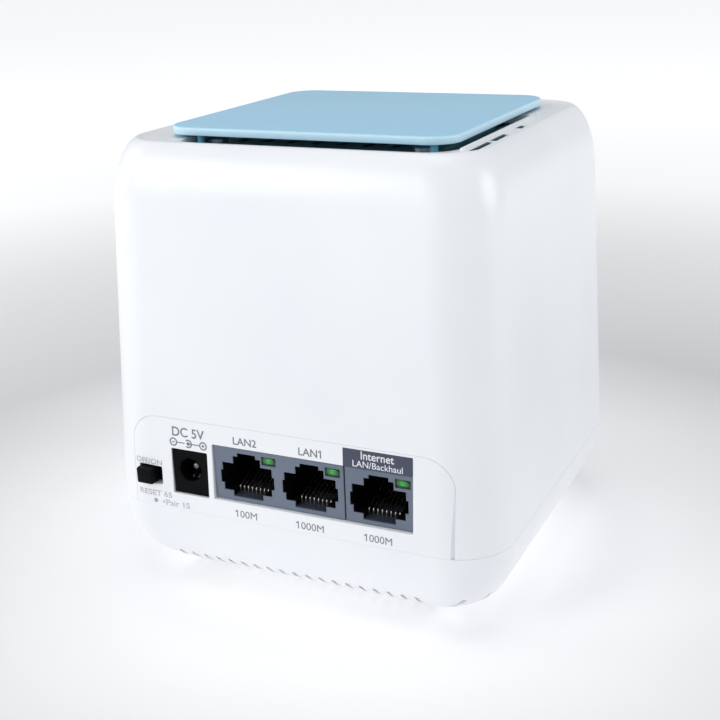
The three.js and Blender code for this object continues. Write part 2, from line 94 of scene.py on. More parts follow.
LAN_X = (-14.0, 17.6)
INTERNET_X = (-29.85, -14.3)
JACK_Z = (23.8, 36.4)
JACK_Y = (29.8, 46.3)
CAVITY_DEPTH = 12.5
LINER, LINER_SETBACK = 0.3, 0.25
PORT_X = (9.45, -5.9, -22.0)
CONTACT_PITCH = 1.016
CONTACT_R = 0.18
SOCKET_FLOOR_Z = 24.8
DC_X = (19.3, 28.3)
DC_Y = (35.5, 46.7)
DC_Z = (23.6, 34.1)
DC_HOLE = (23.8, 29.5)
DC_HOLE_R = 2.75
DC_PIN_R = 0.95
SWITCH_X = (31.3, 37.4)
SWITCH_Z = (24.9, 29.2)
KNOB_X = (33.0, 37.1)
KNOB_Z = (25.2, 28.9)
KNOB_Y = (41.6, 48.7)
RESET = (33.5, 20.7)
RESET_R = 0.5
STATUS_LIGHT = (0, -44, 27)
STATUS_LIGHT_R = 1.45
FOOT_SPOT = 24.5
FOOT_R = 4.5

LATHE_SIDES = 40
SHARP_ANGLE = 35  # degrees between faces, from which an edge is shaded crisp
CLEAR = 3.0  # how far a cutter stands out of the skin


# ---- Meshes --------------------------------------------------------------------------------------
def ring(half_x, half_y, r, z, steps=20, centre=(0.0, 0.0)):
    """A rounded rectangle at height z, as points that run anticlockwise."""
    points = []
    for corner in range(4):
        sign_x = 1 if corner in (0, 3) else -1
        sign_y = 1 if corner < 2 else -1
        for step in range(steps + 1):
            angle = (corner + step / steps) * math.pi / 2
            x = sign_x * (half_x - r) + r * math.cos(angle)
            y = sign_y * (half_y - r) + r * math.sin(angle)
            points.append((x + centre[0], y + centre[1], z))
    return points


def loft(rings):
    """A closed skin through rings of equal point counts, from the first to the last."""
    mesh = bmesh.new()
    loops = [[mesh.verts.new(p) for p in points] for points in rings]
    count = len(loops[0])
    for low, high in zip(loops, loops[1:]):
        for i in range(count):
            j = (i + 1) % count
            mesh.faces.new((low[i], low[j], high[j], high[i]))
    mesh.faces.new(reversed(loops[0]))
    mesh.faces.new(loops[-1])
    bmesh.ops.recalc_face_normals(mesh, faces=mesh.faces)
    return mesh


def box_mesh(x, y, z):
    return loft([
        [(x[0], y[0], level), (x[1], y[0], level), (x[1], y[1], level), (x[0], y[1], level)]
        for level in z
    ])


def disc(x, y, r, sides=32):
    """A circle in the two given axes, as points."""
    turn = 2 * math.pi / sides
    return [(x + r * math.cos(i * turn), y + r * math.sin(i * turn)) for i in range(sides)]


def lathe(profile, centre, axis="Z"):
    """A solid of revolution; profile lists (radius, height) from one end of the axis to the other."""
    mesh = bmesh.new()
    loops = []
    for r, h in profile:
        outline = disc(0, 0, r, LATHE_SIDES) if r > 0 else [(0, 0)]
        loops.append([mesh.verts.new((x, y, h)) for x, y in outline])
    for low, high in zip(loops, loops[1:]):
        for i in range(LATHE_SIDES):
            j = (i + 1) % LATHE_SIDES
            corners = [low[i % len(low)], low[j % len(low)], high[j % len(high)], high[i % len(high)]]
            unique = list(dict.fromkeys(corners))
            if len(unique) > 2:
                mesh.faces.new(unique)
    if axis == "Y":
        bmesh.ops.rotate(mesh, matrix=Matrix.Rotation(-math.pi / 2, 3, "X"), verts=mesh.verts)
    bmesh.ops.translate(mesh, vec=centre, verts=mesh.verts)
    bmesh.ops.recalc_face_normals(mesh, faces=mesh.faces)
    return mesh


def rod(r, low, high, centre, axis="Z"):
    """A plain round bar from low to high along its axis."""
    return lathe([(0, low), (r, low), (r, high), (0, high)], centre, axis)


def merge(*meshes):
    """Several bmeshes in one."""
    whole = bmesh.new()
    for mesh in meshes:
        data = bpy.data.meshes.new("part")
        mesh.to_mesh(data)
        mesh.free()
        whole.from_mesh(data)
        bpy.data.meshes.remove(data)
    return whole


def new_object(name, mesh):
    data = bpy.data.meshes.new(name)
    mesh.to_mesh(data)
    mesh.free()
    obj = bpy.data.objects.new(name, data)
    bpy.context.scene.collection.objects.link(obj)
    return obj


def apply_modifiers(obj):
    """Puts the modifiers' result in the object's mesh."""
    bpy.context.view_layer.update()
    evaluated = obj.evaluated_get(bpy.context.evaluated_depsgraph_get())
    data = bpy.data.meshes.new_from_object(evaluated)
    old = obj.data
    obj.modifiers.clear()
    obj.data = data
    bpy.data.meshes.remove(old)


def boolean(obj, mesh, operation="DIFFERENCE"):
    """Cuts obj by mesh, joins them, or keeps what they share, by the operation's name."""
    tool = new_object("tool", mesh)
    modifier = obj.modifiers.new("cut", "BOOLEAN")
    modifier.operation = operation
    modifier.solver = "EXACT"
    modifier.object = tool
    apply_modifiers(obj)
    data = tool.data
    bpy.data.objects.remove(tool)
    bpy.data.meshes.remove(data)


def bevel(obj, width):
    modifier = obj.modifiers.new("edges", "BEVEL")
    modifier.width = width
    modifier.segments = 2
    modifier.limit_method = "ANGLE"
    modifier.angle_limit = math.radians(SHARP_ANGLE)
    modifier.miter_outer = "MITER_ARC"
    apply_modifiers(obj)


def smooth(obj, angle=SHARP_ANGLE, skin=None):
    """Smooth shading with crisp edges; on the casing's skin the normals come from its formula."""
    data = obj.data
    data.shade_smooth()
    data.set_sharp_from_angle(angle=math.radians(angle))
    if skin is None:
        return
    normals = [Vector(corner.vector) for corner in data.corner_normals]
    for face in data.polygons:
        for index in face.loop_indices:
            point = data.vertices[data.loops[index].vertex_index].co
            normal = skin(point)
            if normal is not None and normal.dot(face.normal) > 0.98:
                normals[index] = normal
    data.normals_split_custom_set(normals)


def place(obj):
    """From millimetres in the casing's frame to metres from the ground up."""
    obj.data.transform(Matrix.Translation((0, 0, LIFT * MM)) @ Matrix.Scale(MM, 4))


def piece(obj, material, body, slot, *nodes):
    """Gives a finished object its material and its body, and hides the CAD nodes it stands for; the slot
    is not used.
    """
    place(obj)
    obj.data.materials.clear()
    obj.data.materials.append(material)
    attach(obj, body)
    if nodes:
        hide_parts(*nodes)


# ---- The casing's skin ---------------------------------------------------------------------------
def rounding_inset(z, inset):
    """How far the bowl or the top's rounding draws the skin in at height z."""
    if z < BOWL_R:
        r = BOWL_R - inset
        return r - math.sqrt(max(r * r - (BOWL_R - z) ** 2, 0))
    climb = min(max((z - TOP_START_Z) / (TOP_RISE - inset), 0), 1)
    return TOP_REACH * (1 - math.sqrt(1 - climb * climb))


def skin_section(z, inset=0.0):
    """Half width, half depth and corner radius of the skin at height z, drawn in by inset."""
    rounding = rounding_inset(z, inset)
    spread = DRAFT * (MID_Z - z) - inset - rounding
    return MID_HALF_X + spread, MID_HALF_Y + spread, CORNER_R - inset - 0.5 * rounding


def skin_ring(z, inset=0.0, extra=0.0, steps=20):
    """The skin's outline at height z; extra draws it in a little more, for a rounded edge."""
    half_x, half_y, r = skin_section(z, inset)
    return ring(half_x - extra, half_y - extra, r - extra, z, steps)


def skin_distance(x, y, z):
    """How far a point is outside the skin's outline at its height."""
    half_x, half_y, r = skin_section(z)
    dx = abs(x) - (half_x - r)
    dy = abs(y) - (half_y - r)
    if dx > 0 and dy > 0:
        return math.hypot(dx, dy) - r
    return max(dx, dy) - r


def skin_normal(point):
    """The skin's normal at a point on it, or None off the skin."""
    x, y, z = point
    if z < 0.02 or z > CREST_Z - 0.3 or abs(skin_distance(x, y, z)) > 0.02:
        return None
    step = 0.01
    gradient = Vector((
        skin_distance(x + step, y, z) - skin_distance(x - step, y, z),
        skin_distance(x, y + step, z) - skin_distance(x, y - step, z),
        skin_distance(x, y, z + step) - skin_distance(x, y, z - step),
    ))
    return gradient.normalized()


def rear_y(x, z):
    """Where the rear skin stands at x and z."""
    half_x, half_y, r = skin_section(z)
    past = abs(x) - (half_x - r)
    if past <= 0:
        return half_y
    return half_y - r + math.sqrt(max(r * r - past * past, 0))


def bowl_heights(inset, steps=18):
    """Even steps round the bowl, from its flat underside up."""
    r = BOWL_R - inset
    return [BOWL_R - r * math.cos(math.pi / 2 * i / steps) for i in range(steps + 1)]


def top_heights(inset, top_z, steps=14):
    """Even steps round the top's rounding, up to top_z."""
    rise = TOP_RISE - inset
    last = math.asin(min((top_z - TOP_START_Z) / rise, 1))
    return [TOP_START_Z + rise * math.sin(last * i / steps) for i in range(steps + 1)]


def inner_solid():
    """The casing's hollow."""
    heights = bowl_heights(WALL, 8) + top_heights(WALL, TOP_SURFACE_Z - WALL, 6)
    return loft([skin_ring(z, WALL, steps=10) for z in heights])


def offset_outline(outline, distance):
    """Moves a clockwise or anticlockwise outline out by distance, or in if it is negative."""
    count = len(outline)
    area = sum(
        outline[i][0] * outline[(i + 1) % count][1] - outline[(i + 1) % count][0] * outline[i][1]
        for i in range(count)
    )
    side = 1 if area > 0 else -1
    moved = []
    for i in range(count):
        before = Vector(outline[i - 1])
        here = Vector(outline[i])
        after = Vector(outline[(i + 1) % count])
        one = (here - before).normalized()
        two = (after - here).normalized()
        normal_one = Vector((one.y, -one.x)) * side
        normal_two = Vector((two.y, -two.x)) * side
        middle = normal_one + normal_two
        middle = middle / max(middle.length_squared / 2, 0.2)
        moved.append(tuple(here + middle * distance))
    return moved


def rear_prism(outline, layers):
    """A closed solid over an X-Z outline whose layers (offset, depth) follow the rear skin."""
    rings = []
    for offset, depth in layers:
        points = offset_outline(outline, offset)
        rings.append([(x, rear_y(x, z) - depth, z) for x, z in points])
    return loft(rings)


def flat_prism(outline, layers):
    """As rear_prism, with each layer flat at a given y."""
    return loft([[(x, y, z) for x, z in offset_outline(outline, offset)] for offset, y in layers])


def rounded_rect(x, z, r, steps=5):
    """An X-Z outline with rounded corners."""
    half_x = (x[1] - x[0]) / 2
    half_z = (z[1] - z[0]) / 2
    points = ring(half_x, half_z, r, 0, steps, ((x[0] + x[1]) / 2, (z[0] + z[1]) / 2))
    return [(px, pz) for px, pz, _ in points]


def quarter_round(r):
    """(inset, depth) pairs round an edge, from its face down to its side."""
    angles = [math.pi / 2 * i / 4 for i in range(5)]
    return [(r * (1 - math.sin(a)), r * (1 - math.cos(a))) for a in angles]


def mouth_layers(edge, deep):
    """A rounded mouth at the surface that goes on straight to the depth."""
    return [(edge, -CLEAR)] + quarter_round(edge) + [(0.0, deep)]


def panel_outline(foot, side_gap=0.0, top_gap=0.0):
    """The port panel's outline, from its foot up, drawn in by a gap at the sides and top."""
    half = PANEL_HALF_X - side_gap
    top = PANEL_TOP_Z - top_gap
    points = [(-half, foot), (half, foot)]
    for centre_x, start in ((half - PANEL_R, 0), (PANEL_R - half, math.pi / 2)):
        for step in range(13):
            angle = start + math.pi / 2 * step / 12
            x = centre_x + PANEL_R * math.cos(angle)
            points.append((x, top - PANEL_R + PANEL_R * math.sin(angle)))
    return points


def dense(outline, longest=1.5):
    """Adds points so that no side of the outline is longer than this."""
    points = []
    for i, here in enumerate(outline):
        after = outline[(i + 1) % len(outline)]
        length = math.dist(here, after)
        parts = max(1, math.ceil(length / longest))
        for k in range(parts):
            t = k / parts
            points.append((here[0] + (after[0] - here[0]) * t, here[1] + (after[1] - here[1]) * t))
    return points


# ---- Materials -----------------------------------------------------------------------------------
FINE = 9000.0  # a moulded grain's noise scale, per metre
SHALLOW = 0.000004  # and its depth, in metres


def srgb(code):
    """A colour from its hex code, in linear light."""
    values = [int(code[i:i + 2], 16) / 255 for i in (0, 2, 4)]
    return [v / 12.92 if v <= 0.04045 else ((v + 0.055) / 1.055) ** 2.4 for v in values] + [1.0]


def make_material(name, colour, roughness, metallic=0.0, **sockets):
    """A Principled material; further sockets are named with _ for a space."""
    material = bpy.data.materials.new(name)
    material.use_nodes = True
    shader = material.node_tree.nodes["Principled BSDF"]
    shader.inputs["Base Color"].default_value = srgb(colour)
    shader.inputs["Roughness"].default_value = roughness
    shader.inputs["Metallic"].default_value = metallic
    for socket, value in sockets.items():
        shader.inputs[socket.replace("_", " ")].default_value = value
    return material


def add_node(material, kind, **settings):
    """A new shader node; each setting goes to the socket of its name, or else to the node itself."""
    node = material.node_tree.nodes.new(kind)
    for key, value in settings.items():
        if key in node.inputs:
            node.inputs[key].default_value = value
        else:
            setattr(node, key, value)
    return node


def connect(material, source, output, target, entry):
    material.node_tree.links.new(source.outputs[output], target.inputs[entry])


def drive(material, source, output, socket):
    """Links a node's output to one of the shader's sockets."""
    connect(material, source, output, material.node_tree.nodes["Principled BSDF"], socket)


def feed_coordinates(material, node, space="Object"):
    """Feeds a node with the object's coordinates, in metres or as a share of its box."""
    connect(material, add_node(material, "ShaderNodeTexCoord"), space, node, "Vector")


def colour_ramp(material, source, output, stops):
    """A ramp of (position, colour) stops, from low to high, over a node's output."""
    ramp = add_node(material, "ShaderNodeValToRGB")
    elements = ramp.color_ramp.elements
    for element, (position, colour) in zip(elements, (stops[0], stops[-1])):
        element.position = position
        element.color = colour
    for position, colour in stops[1:-1]:
        elements.new(position).color = colour
    connect(material, source, output, ramp, "Fac")
    return ramp


def object_noise(material, scale, detail):
    """Noise that stays with the object as it moves."""
    noise = add_node(material, "ShaderNodeTexNoise", Scale=scale, Detail=detail, Roughness=0.55)
    feed_coordinates(material, noise)
    return noise


def vary_roughness(material, noise, low, high):
    spread = add_node(material, "ShaderNodeMapRange")
    spread.inputs["To Min"].default_value = low
    spread.inputs["To Max"].default_value = high
    connect(material, noise, "Fac", spread, "Value")
    drive(material, spread, "Result", "Roughness")


def vary_colour(material, noise, low, high):
    ramp = colour_ramp(material, noise, "Fac", [(0.3, srgb(low)), (0.7, srgb(high))])
    drive(material, ramp, "Color", "Base Color")


def fine_grain(material, scale, depth):
    """A fine eroded grain, as a bump."""
    node = add_node(material, "ShaderNodeBump", Strength=0.25, Distance=depth)
    connect(material, object_noise(material, scale, 2.0), "Fac", node, "Height")
    drive(material, node, "Normal", "Normal")


def moulded(name, low, high, roughness, grain=FINE, depth=SHALLOW, **sockets):
    """Moulded plastic: a little colour and gloss variation, and a fine grain."""
    material = make_material(name, high, roughness, **sockets)
    vary_colour(material, object_noise(material, 25.0, 2.0), low, high)
    vary_roughness(material, object_noise(material, 160.0, 3.0), roughness - 0.05, roughness + 0.05)
    fine_grain(material, grain, depth)
    return material


def worked_metal(name, low, high, roughness):
    """Metal with a fine uneven polish."""
    material = make_material(name, high, roughness, 1.0)
    vary_colour(material, object_noise(material, 300.0, 3.0), low, high)
    vary_roughness(material, object_noise(material, 1500.0, 4.0), roughness * 0.7, roughness * 1.4)
    return material


WHITE = moulded("white_casing_plastic", "EEF0F4", "F3F5F8", 0.32, Coat_Weight=0.15, Coat_Roughness=0.12)
SLATE = moulded("slate_jack_plastic", "66707F", "6E7888", 0.42, grain=6000.0, Specular_IOR_Level=0.3)
VENT = moulded("vent_frame_plastic", "5B93A3", "6AA0AF", 0.5)
# painted shade: dark strips that stand in for the shade inside the side slots
SLOT_SHADE = moulded("slot_painted_shade_plastic", "2F4D5B", "355464", 0.6, Specular_IOR_Level=0.2)
LABEL = moulded("slate_label_print", "454A5C", "4B5063", 0.45, Specular_IOR_Level=0.3)
# painted shade: slate darker than the housing, for the ledge deep in each socket
SHADED_LEDGE = moulded("ledge_painted_shade_plastic", "353B49", "3B4150", 0.5, Specular_IOR_Level=0.2)
# painted shade: a near-black sheet that darkens each socket's inside
SOCKET_SHADE = moulded("socket_painted_shade_plastic", "040507", "07080B", 0.7, Specular_IOR_Level=0.1)
BLACK = moulded("black_plastic", "060709", "090A0E", 0.42, Specular_IOR_Level=0.06)
CHIP = moulded("chip_compound", "17181A", "222326", 0.6)
GREY = moulded("grey_frame_plastic", "AFB4BA", "BCC1C7", 0.5)
RUBBER = moulded("black_rubber", "2C2D2F", "38393B", 0.8, grain=5000.0, depth=0.00001)
PAD = moulded("thermal_pad_silicone", "94A2B3", "A0AEBD", 0.75)
INK = moulded("grey_print", "7A7C84", "82848C", 0.5)
FAINT_INK = moulded("pale_print", "B9BCC3", "C0C3CA", 0.5)
WHITE_INK = moulded("white_print", "E9ECF2", "F0F2F6", 0.5)
LENS = moulded("clear_lens_plastic", "DCE6EC", "E4EDF2", 0.15)
STEEL = worked_metal("zinc_plated_steel", "A9ADB3", "C3C7CC", 0.32)
SHIELD = worked_metal("tinned_shield_metal", "B6B9BD", "CFD2D6", 0.3)
GOLD = worked_metal("thin_gold_plate", "B5AF9F", "D2CCBC", 0.3)
# painted shade: nickel darker than bare metal, for the pin and spring deep in the jack's bore
BORE_SHADED_METAL = worked_metal("nickel_pin_painted_shade", "6E7074", "85878C", 0.3)
ALUMINIUM = worked_metal("extruded_aluminium", "B4B7BA", "CACDD0", 0.4)


def circuit_board_material():
    """Green solder mask over copper, with copper islands that show as a paler green."""
    material = make_material("solder_mask", "1E6B45", 0.35)
    cells = add_node(material, "ShaderNodeTexVoronoi", Scale=180.0)
    feed_coordinates(material, cells)
    ramp = colour_ramp(material, cells, "Distance", [(0.25, srgb("2A7E52")), (0.35, srgb("195A39"))])
    drive(material, ramp, "Color", "Base Color")
    return material


def led_material():
    """Tinted green plastic with painted light: a bright spot a little off its middle, and painted shade
    towards its edges.
    """
    material = make_material("green_led_window_painted_glow", "1F8A38", 0.2, Coat_Weight=0.25, Coat_Roughness=0.04)
    # painted glow: a spherical spot, bright near the middle and dark at the edges
    gradient = add_node(material, "ShaderNodeTexGradient", gradient_type="SPHERICAL")
    mapping = add_node(material, "ShaderNodeMapping")
    mapping.inputs["Location"].default_value = (-0.55, 0.0, -0.5)
    mapping.inputs["Scale"].default_value = (1.0, 0.0, 1.0)
    feed_coordinates(material, mapping, "Generated")
    connect(material, mapping, "Vector", gradient, "Vector")
    ramp = colour_ramp(material, gradient, "Fac", [(0.5, srgb("073315")), (0.92, srgb("2FA63F"))])
    drive(material, ramp, "Color", "Base Color")
    return material


def plate_material():
    """Pale blue plastic coloured by height: a painted glow makes its thin rim paler, and painted shade
    makes its legs deeper.
    """
    material = make_material("blue_plate_plastic_painted_light", "A6D8F3", 0.34, Specular_IOR_Level=0.4)
    axes = add_node(material, "ShaderNodeSeparateXYZ")
    feed_coordinates(material, axes)
    height = add_node(material, "ShaderNodeMapRange")
    height.inputs["From Min"].default_value = (PLATE_Z[0] + LIFT - 1.0) * MM
    height.inputs["From Max"].default_value = (PLATE_Z[1] + LIFT) * MM
    connect(material, axes, "Z", height, "Value")
    # painted shade on the legs low down, painted glow on the rim, and the plate's own pale blue on top
    painted_shade_legs, painted_glow_low_rim, painted_glow_high_rim, top = srgb("5FA3BA"), srgb("BFE3F4"), srgb("CDEBF8"), srgb("A3D6F2")
    stops = [(0.3, painted_shade_legs), (0.4, painted_glow_low_rim), (0.9, painted_glow_high_rim), (0.99, top)]
    drive(material, colour_ramp(material, height, "Result", stops), "Color", "Base Color")
    vary_roughness(material, object_noise(material, 160.0, 3.0), 0.3, 0.38)
    fine_grain(material, FINE, SHALLOW)
    return material


BOARD = circuit_board_material()
LED = led_material()
BLUE = plate_material()


# ---- Casing pieces -------------------------------------------------------------------------------
SEAM_HALF = 0.02  # half the visible gap between the base and the upper casing
EDGE = 0.1  # rounding of the casing's edges


def seam_edge_rings(side):
    """Rings that round the skin's edge off, away from the seam: upwards (1) or downwards (-1)."""
    return [
        skin_ring(SEAM_Z + side * (SEAM_HALF + depth), extra=inset)
        for inset, depth in quarter_round(EDGE)
    ]


def crest_rings():
    """The crease at the top, and the slope inside it down to the dished top."""
    rings = []
    half_x, half_y, r = skin_section(CREST_Z)
    for inwards, drop in ((0.12, -0.02), (0.3, 0.0), (0.8, 0.22), (1.3, 0.36), (1.9, 0.4)):
        rings.append(ring(half_x - inwards, half_y - inwards, r - inwards, CREST_Z - drop))
    return rings


def well_outline():
    """The top opening: a rounded square with two opposite corners filled in."""
    half = [
        (WELL_HALF_X, WELL_R - WELL_HALF_Y),
        (WELL_HALF_X, WELL_FILL_Y),
        (WELL_FILL_X, WELL_FILL_Y),
        (WELL_FILL_X, WELL_HALF_Y - 3.4),
        (WELL_FILL_X - 0.45, WELL_HALF_Y - 1.7),
        (WELL_FILL_X - 1.7, WELL_HALF_Y - 0.45),
        (WELL_FILL_X - 3.4, WELL_HALF_Y),
        (WELL_R - WELL_HALF_X, WELL_HALF_Y),
    ]
    corner = []
    for step in range(1, 8):
        angle = math.pi / 2 + math.pi / 2 * step / 8
        corner.append((
            WELL_R - WELL_HALF_X + WELL_R * math.cos(angle),
            WELL_HALF_Y - WELL_R + WELL_R * math.sin(angle),
        ))
    one = half + corner
    return one + [(-x, -y) for x, y in one]


def upright_prism(outline, layers):
    """A closed solid over an X-Y outline; layers are (offset, z)."""
    return loft([[(x, y, z) for x, y in offset_outline(outline, offset)] for offset, z in layers])


def along_side(side, x, y):
    """An X range and a Y range on one side of the top; the other side is the same after half a turn."""
    return sorted((side * x[0], side * x[1])), sorted((-side * y[0], -side * y[1]))


def top_slots():
    """Cutters for the air slots outside the raised ribs."""
    return merge(*(
        box_mesh(*along_side(side, SLOT_X, y), (95, 103)) for side in (1, -1) for y in SLOT_SPANS
    ))


def side_rib(side):
    """The slim raised rib between the opening and the side slots."""
    outline = rounded_rect(*along_side(side, RIB_X, RIB_Y), 0.5, 4)
    top = CREST_Z + 0.1
    return upright_prism(outline, [(0, 100.0), (0, top - 0.2), (-0.06, top - 0.06), (-0.2, top)])


def slot_shade_strips():
    """Dark strips of painted shade in the side slots, above the vent floor, so that the slots read dark.
    """
    x = (SLOT_X[0] + 0.03, SLOT_X[0] + 0.6)
    z = (VENT_FLOOR_Z[1] + 0.05, TOP_SURFACE_Z - 0.06)
    for side, name in ((1, "left"), (-1, "right")):
        strips = [
            box_mesh(*along_side(side, x, (y0 + 0.05, y1 - 0.05)), z)
            for y0, y1 in SLOT_SPANS
        ]
        shade_strip = new_object(f"side_slot_painted_shade_{name}", merge(*strips))
        bevel(shade_strip, 0.08)
        smooth(shade_strip)
        piece(shade_strip, SLOT_SHADE, "casing", "slate_plastic")


def upper_shell():
    """The upper casing, open below, with the top opening and a seat for the port panel."""
    middle = [skin_ring(z) for z in (24.0, 50.0, 75.0)]
    top = [skin_ring(z) for z in top_heights(0.0, CREST_Z)]
    shell = new_object("casing_upper", loft(seam_edge_rings(1) + middle + top + crest_rings()))
    boolean(shell, inner_solid())
    surface = TOP_SURFACE_Z
    mouth = [(0, 90), (0, surface - 0.25), (0.06, surface - 0.1), (0.25, surface), (0.25, 110)]
    boolean(shell, upright_prism(well_outline(), mouth))
    boolean(shell, top_slots())
    for side in (1, -1):
        boolean(shell, side_rib(side), "UNION")
    seat = mouth_layers(0.1, 1.0) + [(-1.3, 1.01), (-1.3, 6.0)]
    boolean(shell, rear_prism(dense(panel_outline(SEAM_Z - 3.0)), seat))
    boolean(shell, rod(STATUS_LIGHT_R, -3, 5, STATUS_LIGHT, "Y"))
    smooth(shell, skin=skin_normal)
    piece(shell, WHITE, "casing", "white_casing", "upper_shell")


def window(obj, outline, edge=0.15):
    """Cuts a hole with a rounded mouth through the rear."""
    boolean(obj, rear_prism(outline, mouth_layers(edge, 8.0)))


def panel_edge_wedge():
    """Cuts the bevel down the panel's -X edge, which widens towards its foot."""
    rings = []
    outer = -PANEL_HALF_X - 0.5
    for z, width in PANEL_BEVEL:
        inner = width - PANEL_HALF_X
        skin = rear_y(inner, z)
        floor_y = skin - PANEL_BEVEL_SLOPE * (inner - outer)
        rings.append([(inner, skin, z), (outer, floor_y, z), (outer, skin + 3, z), (inner, skin + 3, z)])
    return loft(rings)


def port_panel():
    """The panel flush in the rear, thicker inside its rim, with a window for each part behind it."""
    lowest = SEAM_Z + SEAM_HALF
    panel = new_object("casing_port_panel", loft([skin_ring(z, steps=48) for z in (lowest, 30.0, 44.0)]))
    outline = dense(panel_outline(lowest - 1.0, PANEL_SIDE_GAP, PANEL_TOP_GAP))
    rounded = [(-inset, depth) for inset, depth in quarter_round(EDGE)]
    rim = [(-EDGE, -CLEAR)] + rounded + [(0.0, PANEL_RIM_THICK)]
    boolean(panel, rear_prism(outline, rim), "INTERSECT")
    back = dense(panel_outline(lowest + 0.1, PANEL_RIM, PANEL_RIM))
    boolean(panel, rear_prism(back, [(0, PANEL_RIM_THICK - 0.1), (0, WALL)]), "UNION")
    boolean(panel, panel_edge_wedge())
    jacks_x = (INTERNET_X[0] - 0.05, LAN_X[1] + 0.2)
    window(panel, rounded_rect(jacks_x, (JACK_Z[0] - 0.1, JACK_Z[1] + 0.2), 0.2))
    window(panel, rounded_rect((DC_X[0] - 0.12, DC_X[1] + 0.12), (DC_Z[0] - 0.12, DC_Z[1] + 0.12), 0.25))
    window(panel, rounded_rect(SWITCH_X, SWITCH_Z, 0.3))
    window(panel, disc(*RESET, RESET_R, 24), 0.12)
    smooth(panel, skin=skin_normal)
    piece(panel, WHITE, "casing", "white_casing", "port_panel")


def base_slot_cutters():
    """Round-ended air slots through the base's lower edge, and two round one corner."""
    outlines = []
    for i in range(BASE_SLOTS):
        x = BASE_SLOT_FIRST_X - i * BASE_SLOT_PITCH
        for side, middle in ((1, x), (-1, -x)):
            y = sorted(side * end for end in BASE_SLOT_Y)
            width = (middle - BASE_SLOT_HALF, middle + BASE_SLOT_HALF)
            outlines.append(rounded_rect(width, y, BASE_SLOT_HALF - 0.01, 4))
    half = CORNER_SLOT_HALF
    straight = rounded_rect((-half, half), (-4.5, 4.9), half - 0.01, 4)
    for x, y, turn in CORNER_SLOTS:
        turned = [(Matrix.Rotation(turn, 2) @ Vector(point)) + Vector((x, y)) for point in straight]
        outlines.append([tuple(point) for point in turned])
    return merge(*(upright_prism(outline, [(0, -2), (0, 9)]) for outline in outlines))


def base_shell():
    """The bowl, with a collar that the upper casing slips over, cut away behind the port panel."""
    bowl = [skin_ring(z) for z in bowl_heights(0.0)[:-1]]
    base = new_object("casing_base", loft(bowl + seam_edge_rings(-1)[::-1]))
    boolean(base, inner_solid())
    lip = [skin_ring(z, inset=WALL + 0.1) for z in (15.0, SEAM_Z + 1.6)]
    hollow = [skin_ring(z, inset=WALL + 1.1) for z in (14.0, SEAM_Z + 3.0)]
    collar = new_object("collar", loft(lip))
    boolean(collar, loft(hollow))
    boolean(collar, box_mesh((-41, 41), (30, 60), (17.5, 30)))
    band = bmesh.new()
    band.from_mesh(collar.data)
    bpy.data.objects.remove(collar)
    boolean(base, band, "UNION")
    for sx in (1, -1):
        for sy in (1, -1):
            spot = (sx * FOOT_SPOT, sy * FOOT_SPOT, 0)
            boolean(base, rod(FOOT_R + 0.2, -1, 0.6, spot))
    boolean(base, base_slot_cutters())
    smooth(base, skin=skin_normal)
    piece(base, WHITE, "casing", "white_casing", "base_shell")


def plate_ring(inset, z):
    return ring(PLATE_HALF_X - inset, PLATE_HALF_Y - inset, PLATE_R - inset, z)


def top_plate():
    """The blue plate, round at its upper edge, on its four posts."""
    low, high = PLATE_Z
    rings = [plate_ring(0.25, low), plate_ring(0.05, low + 0.12), plate_ring(0, low + 0.3)]
    for i in range(7):
        angle = math.pi / 2 * i / 6
        z = high - PLATE_EDGE + PLATE_EDGE * math.sin(angle)
        rings.append(plate_ring(PLATE_EDGE * (1 - math.cos(angle)), z))
    plate = new_object("vent_plate", loft(rings))
    for x, y in PLATE_POSTS:
        boolean(plate, rod(POST_R, VENT_FLOOR_Z[1] + 0.05, low + 0.6, (x, y, 0)), "UNION")
    smooth(plate)
    piece(plate, BLUE, "casing", "blue_plate", "top_plate")


def vent_frame():
    """The floor under the plate, with a row of long air slots."""
    frame_floor = new_object("vent_frame", loft([ring(37, 36.9, 8, z) for z in VENT_FLOOR_Z]))
    slots = []
    for i in range(VENT_SLOTS):
        x = (i - (VENT_SLOTS - 1) / 2) * VENT_PITCH
        width = (x - VENT_SLOT_HALF_X, x + VENT_SLOT_HALF_X)
        outline = rounded_rect(width, (-VENT_SLOT_HALF_Y, VENT_SLOT_HALF_Y), 1.05)
        slots.append(upright_prism(outline, [(0, 90), (0, 101)]))
    boolean(frame_floor, merge(*slots))
    smooth(frame_floor)
    piece(frame_floor, VENT, "casing", "slate_plastic", "top_vent_frame")


# ---- Sockets -------------------------------------------------------------------------------------
def socket_outline(x):
    """An RJ45 mouth with its latch recess at the top, side clearances and contact recess below."""
    right = [
        (3.7, SOCKET_FLOOR_Z), (3.7, 26.15), (5.95, 26.15), (5.95, 27.8), (6.65, 27.8), (6.65, 30.8),
        (6.15, 30.8), (6.15, 32.7), (3.4, 32.7), (3.4, 34.45), (2.25, 34.45), (2.25, 35.3),
    ]
    left = [(-px, z) for px, z in reversed(right)]
    return [(x + px, z) for px, z in right + left]


def led_outline(x, inset=0.0):
    """The LED window beside the latch recess."""
    return rounded_rect((x - 7.25 + inset, x - 3.75 - inset), (33.4 + inset, 35.4 - inset), 0.12, 3)


def chamfered_mouth(front, edge):
    """Layers that take a straight hole out through a flat front, with a chamfer."""
    return [(0, front - edge), (edge, front + 0.001), (edge, front + 2)]


